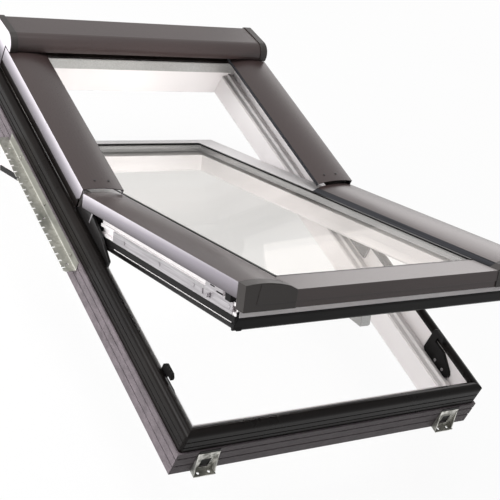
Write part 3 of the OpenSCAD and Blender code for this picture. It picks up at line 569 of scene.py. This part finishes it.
RAIL_SCREWS_Y = (-150.0, -290.0, -415.0, -535.0)
RAIL_SCREW_H = 100.0
RAIL_SCREW_RADIUS = 3.6
RAIL_SCREW_HEAD = 0.9
HEAD_TAPER = 0.85
HEAD_SIDES = 20

STRIP_HALF = 328.0
HEAD_STRIP_HALF = 340.0

BRACKETS_X = (-300.0, 300.0)
BRACKET_PAD_HALF = 23.0
BRACKET_WINDOW_HALF = 10.5
SILL_FACE = -590.1  # just clear of the sill's insulation

SOFT_EDGE = 0.6
FINE_EDGE = 0.3
THIN_EDGE = 0.25


def shut_to_row(point, on_sash):
    """Row-frame place, in metres, of a point on the shut window."""
    place = Vector((point[0], point[1], point[2] - ROOF_HEIGHT)) / 1000
    if not on_sash:
        return place
    return Matrix.Rotation(-SASH_TILT, 3, "X") @ (place - PIVOT) + PIVOT


def add_solids(name, build, body, slot, soften=0.0):
    """One piece from bmesh solids drawn in millimetres, riding a body."""
    made = bmesh.new()
    build(made)
    if soften:
        bmesh.ops.bevel(made, geom=made.edges[:], offset=soften, segments=2, affect="EDGES")
    for vertex in made.verts:
        vertex.co = shut_to_row(vertex.co, body == "sash")
    mesh = bpy.data.meshes.new(name)
    made.to_mesh(mesh)
    made.free()
    piece = bpy.data.objects.new(name, mesh)
    scene.collection.objects.link(piece)
    mesh.materials.append(finish(FINISH_OF_SLOT[slot], body == "sash"))
    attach(piece, body)


def block(made, x, y, h):
    """Box with its lowest and highest place each way."""
    size = [high - low for low, high in (x, y, h)]
    centre = [(high + low) / 2 for low, high in (x, y, h)]
    placed = Matrix.Translation(centre) @ Matrix.Diagonal((*size, 1))
    bmesh.ops.create_cube(made, size=1, matrix=placed)


def pair(made, x, y, h):
    """Box given on the right side, with its mirror image on the left."""
    for side in SIDES:
        block(made, sorted((side * x[0], side * x[1])), y, h)


def stud(made, place, radius, length):
    """Round head that stands out across X from a place on the right or left side."""
    outward = math.copysign(1, place[0])
    centre = Vector(place) + Vector((outward * length / 2, 0, 0))
    turn = Matrix.Translation(centre) @ Matrix.Rotation(math.pi / 2, 4, "Y")
    bmesh.ops.create_cone(made, cap_ends=True, segments=HEAD_SIDES, radius1=radius,
                          radius2=HEAD_TAPER * radius, depth=length, matrix=turn)


def glazing_gasket(made):
    """Seal round the outer pane: two sides, head and foot."""
    bottom, top = PANE_ENDS
    pane_width = (-PANE_HALF, PANE_HALF)
    pair(made, x=(PANE_HALF, SEAL_OUTER_X), y=PANE_ENDS, h=(PANE_FACE, SEAL_SIDE_TOP))
    block(made, x=pane_width, y=(SEAL_HEAD_START, top), h=(PANE_FACE, SEAL_HEAD_TOP))
    block(made, x=pane_width, y=(bottom, SEAL_FOOT_END), h=(PANE_FACE, SEAL_FOOT_TOP))


def upper_gasket(made):
    """Seals along the upper stiles."""
    pair(made, x=(300.2, 302.6), y=(62.0, 550.0), h=(77.0, 90.0))


def rail_screws(made):
    """Screw heads along the lock plates."""
    for side in SIDES:
        for y in RAIL_SCREWS_Y:
            stud(made, (side * LOCK_SIDE, y, RAIL_SCREW_H), RAIL_SCREW_RADIUS, RAIL_SCREW_HEAD)


def case_slot_shades(made):
    """Black blocks where the lock cases have slots: painted shade of the slots' hollows."""
    depth = (LOCK_SIDE, LOCK_SIDE + PROUD)
    pair(made, x=depth, y=(-512.0, -492.0), h=(112.8, 115.2))
    pair(made, x=depth, y=(-484.0, -470.0), h=(118.6, 120.6))


def gasket_highlight_lines(made):
    """Pale lines along the side faces of the sash seal: a painted highlight along the seal's lip."""
    pair(made, x=(LOCK_SIDE - SUNK, LOCK_SIDE + PROUD), y=(-548.0, -112.0), h=(75.2, 76.7))


def rail_grooves(made):
    """Groove lines along the lock plates."""
    pair(made, x=(LOCK_SIDE - SUNK, LOCK_SIDE + GROOVE_PROUD), y=(-462.0, -112.0), h=(107.4, 108.8))


def overlap_strip(made):
    """White strip on the front edge of the sash, under its cladding."""
    block(made, x=(-STRIP_HALF, STRIP_HALF), y=(-561.4, -560.2), h=(87.6, 98.4))


def head_strip(made):
    """Metal strip on the inner face of the frame's head."""
    block(made, x=(-HEAD_STRIP_HALF, HEAD_STRIP_HALF), y=(562.3, 563.3), h=(66.0, 94.5))


def hinge_links(made):
    """Steel links beside the hinges."""
    pair(made, x=(343.6, 344.4), y=(-38.0, -33.0), h=(117.0, 141.0))


def bracket_pads_and_window_shades(made):
    """Black pads above the sill brackets, and black sheets in their windows: painted shade of the hollow
    behind.
    """
    for middle in BRACKETS_X:
        pad = (middle - BRACKET_PAD_HALF, middle + BRACKET_PAD_HALF)
        window = (middle - BRACKET_WINDOW_HALF, middle + BRACKET_WINDOW_HALF)
        block(made, x=pad, y=(-591.2, SILL_FACE), h=(50.6, 56.6))
        # Black sheet in the bracket's window: painted shade of the hollow behind
        block(made, x=window, y=(-591.4, SILL_FACE), h=(13.0, 32.7))


def add_fittings():
    add_solids("glazing_gasket", glazing_gasket, "sash", "black_gasket")
    add_solids("upper_gasket", upper_gasket, "sash", "black_gasket", SOFT_EDGE)
    add_solids("rail_screws", rail_screws, "sash", "steel")
    add_solids("case_slot_shades", case_slot_shades, "sash", "catch_plastic")
    add_solids("gasket_highlight_lines", gasket_highlight_lines, "sash", "grey_gasket")
    add_solids("rail_grooves", rail_grooves, "sash", "handle_metal")
    add_solids("overlap_strip", overlap_strip, "sash", "white_pvc", FINE_EDGE)
    add_solids("head_strip", head_strip, "frame", "handle_metal", THIN_EDGE)
    add_solids("hinge_links", hinge_links, "frame", "steel", THIN_EDGE)
    add_solids("bracket_pads_and_window_shades", bracket_pads_and_window_shades, "frame", "black_gasket", FINE_EDGE)


scene.view_settings.view_transform = "Standard"
add_camera()
dress_nodes()
add_fittings()
add_floor()
add_world()
add_lamps()
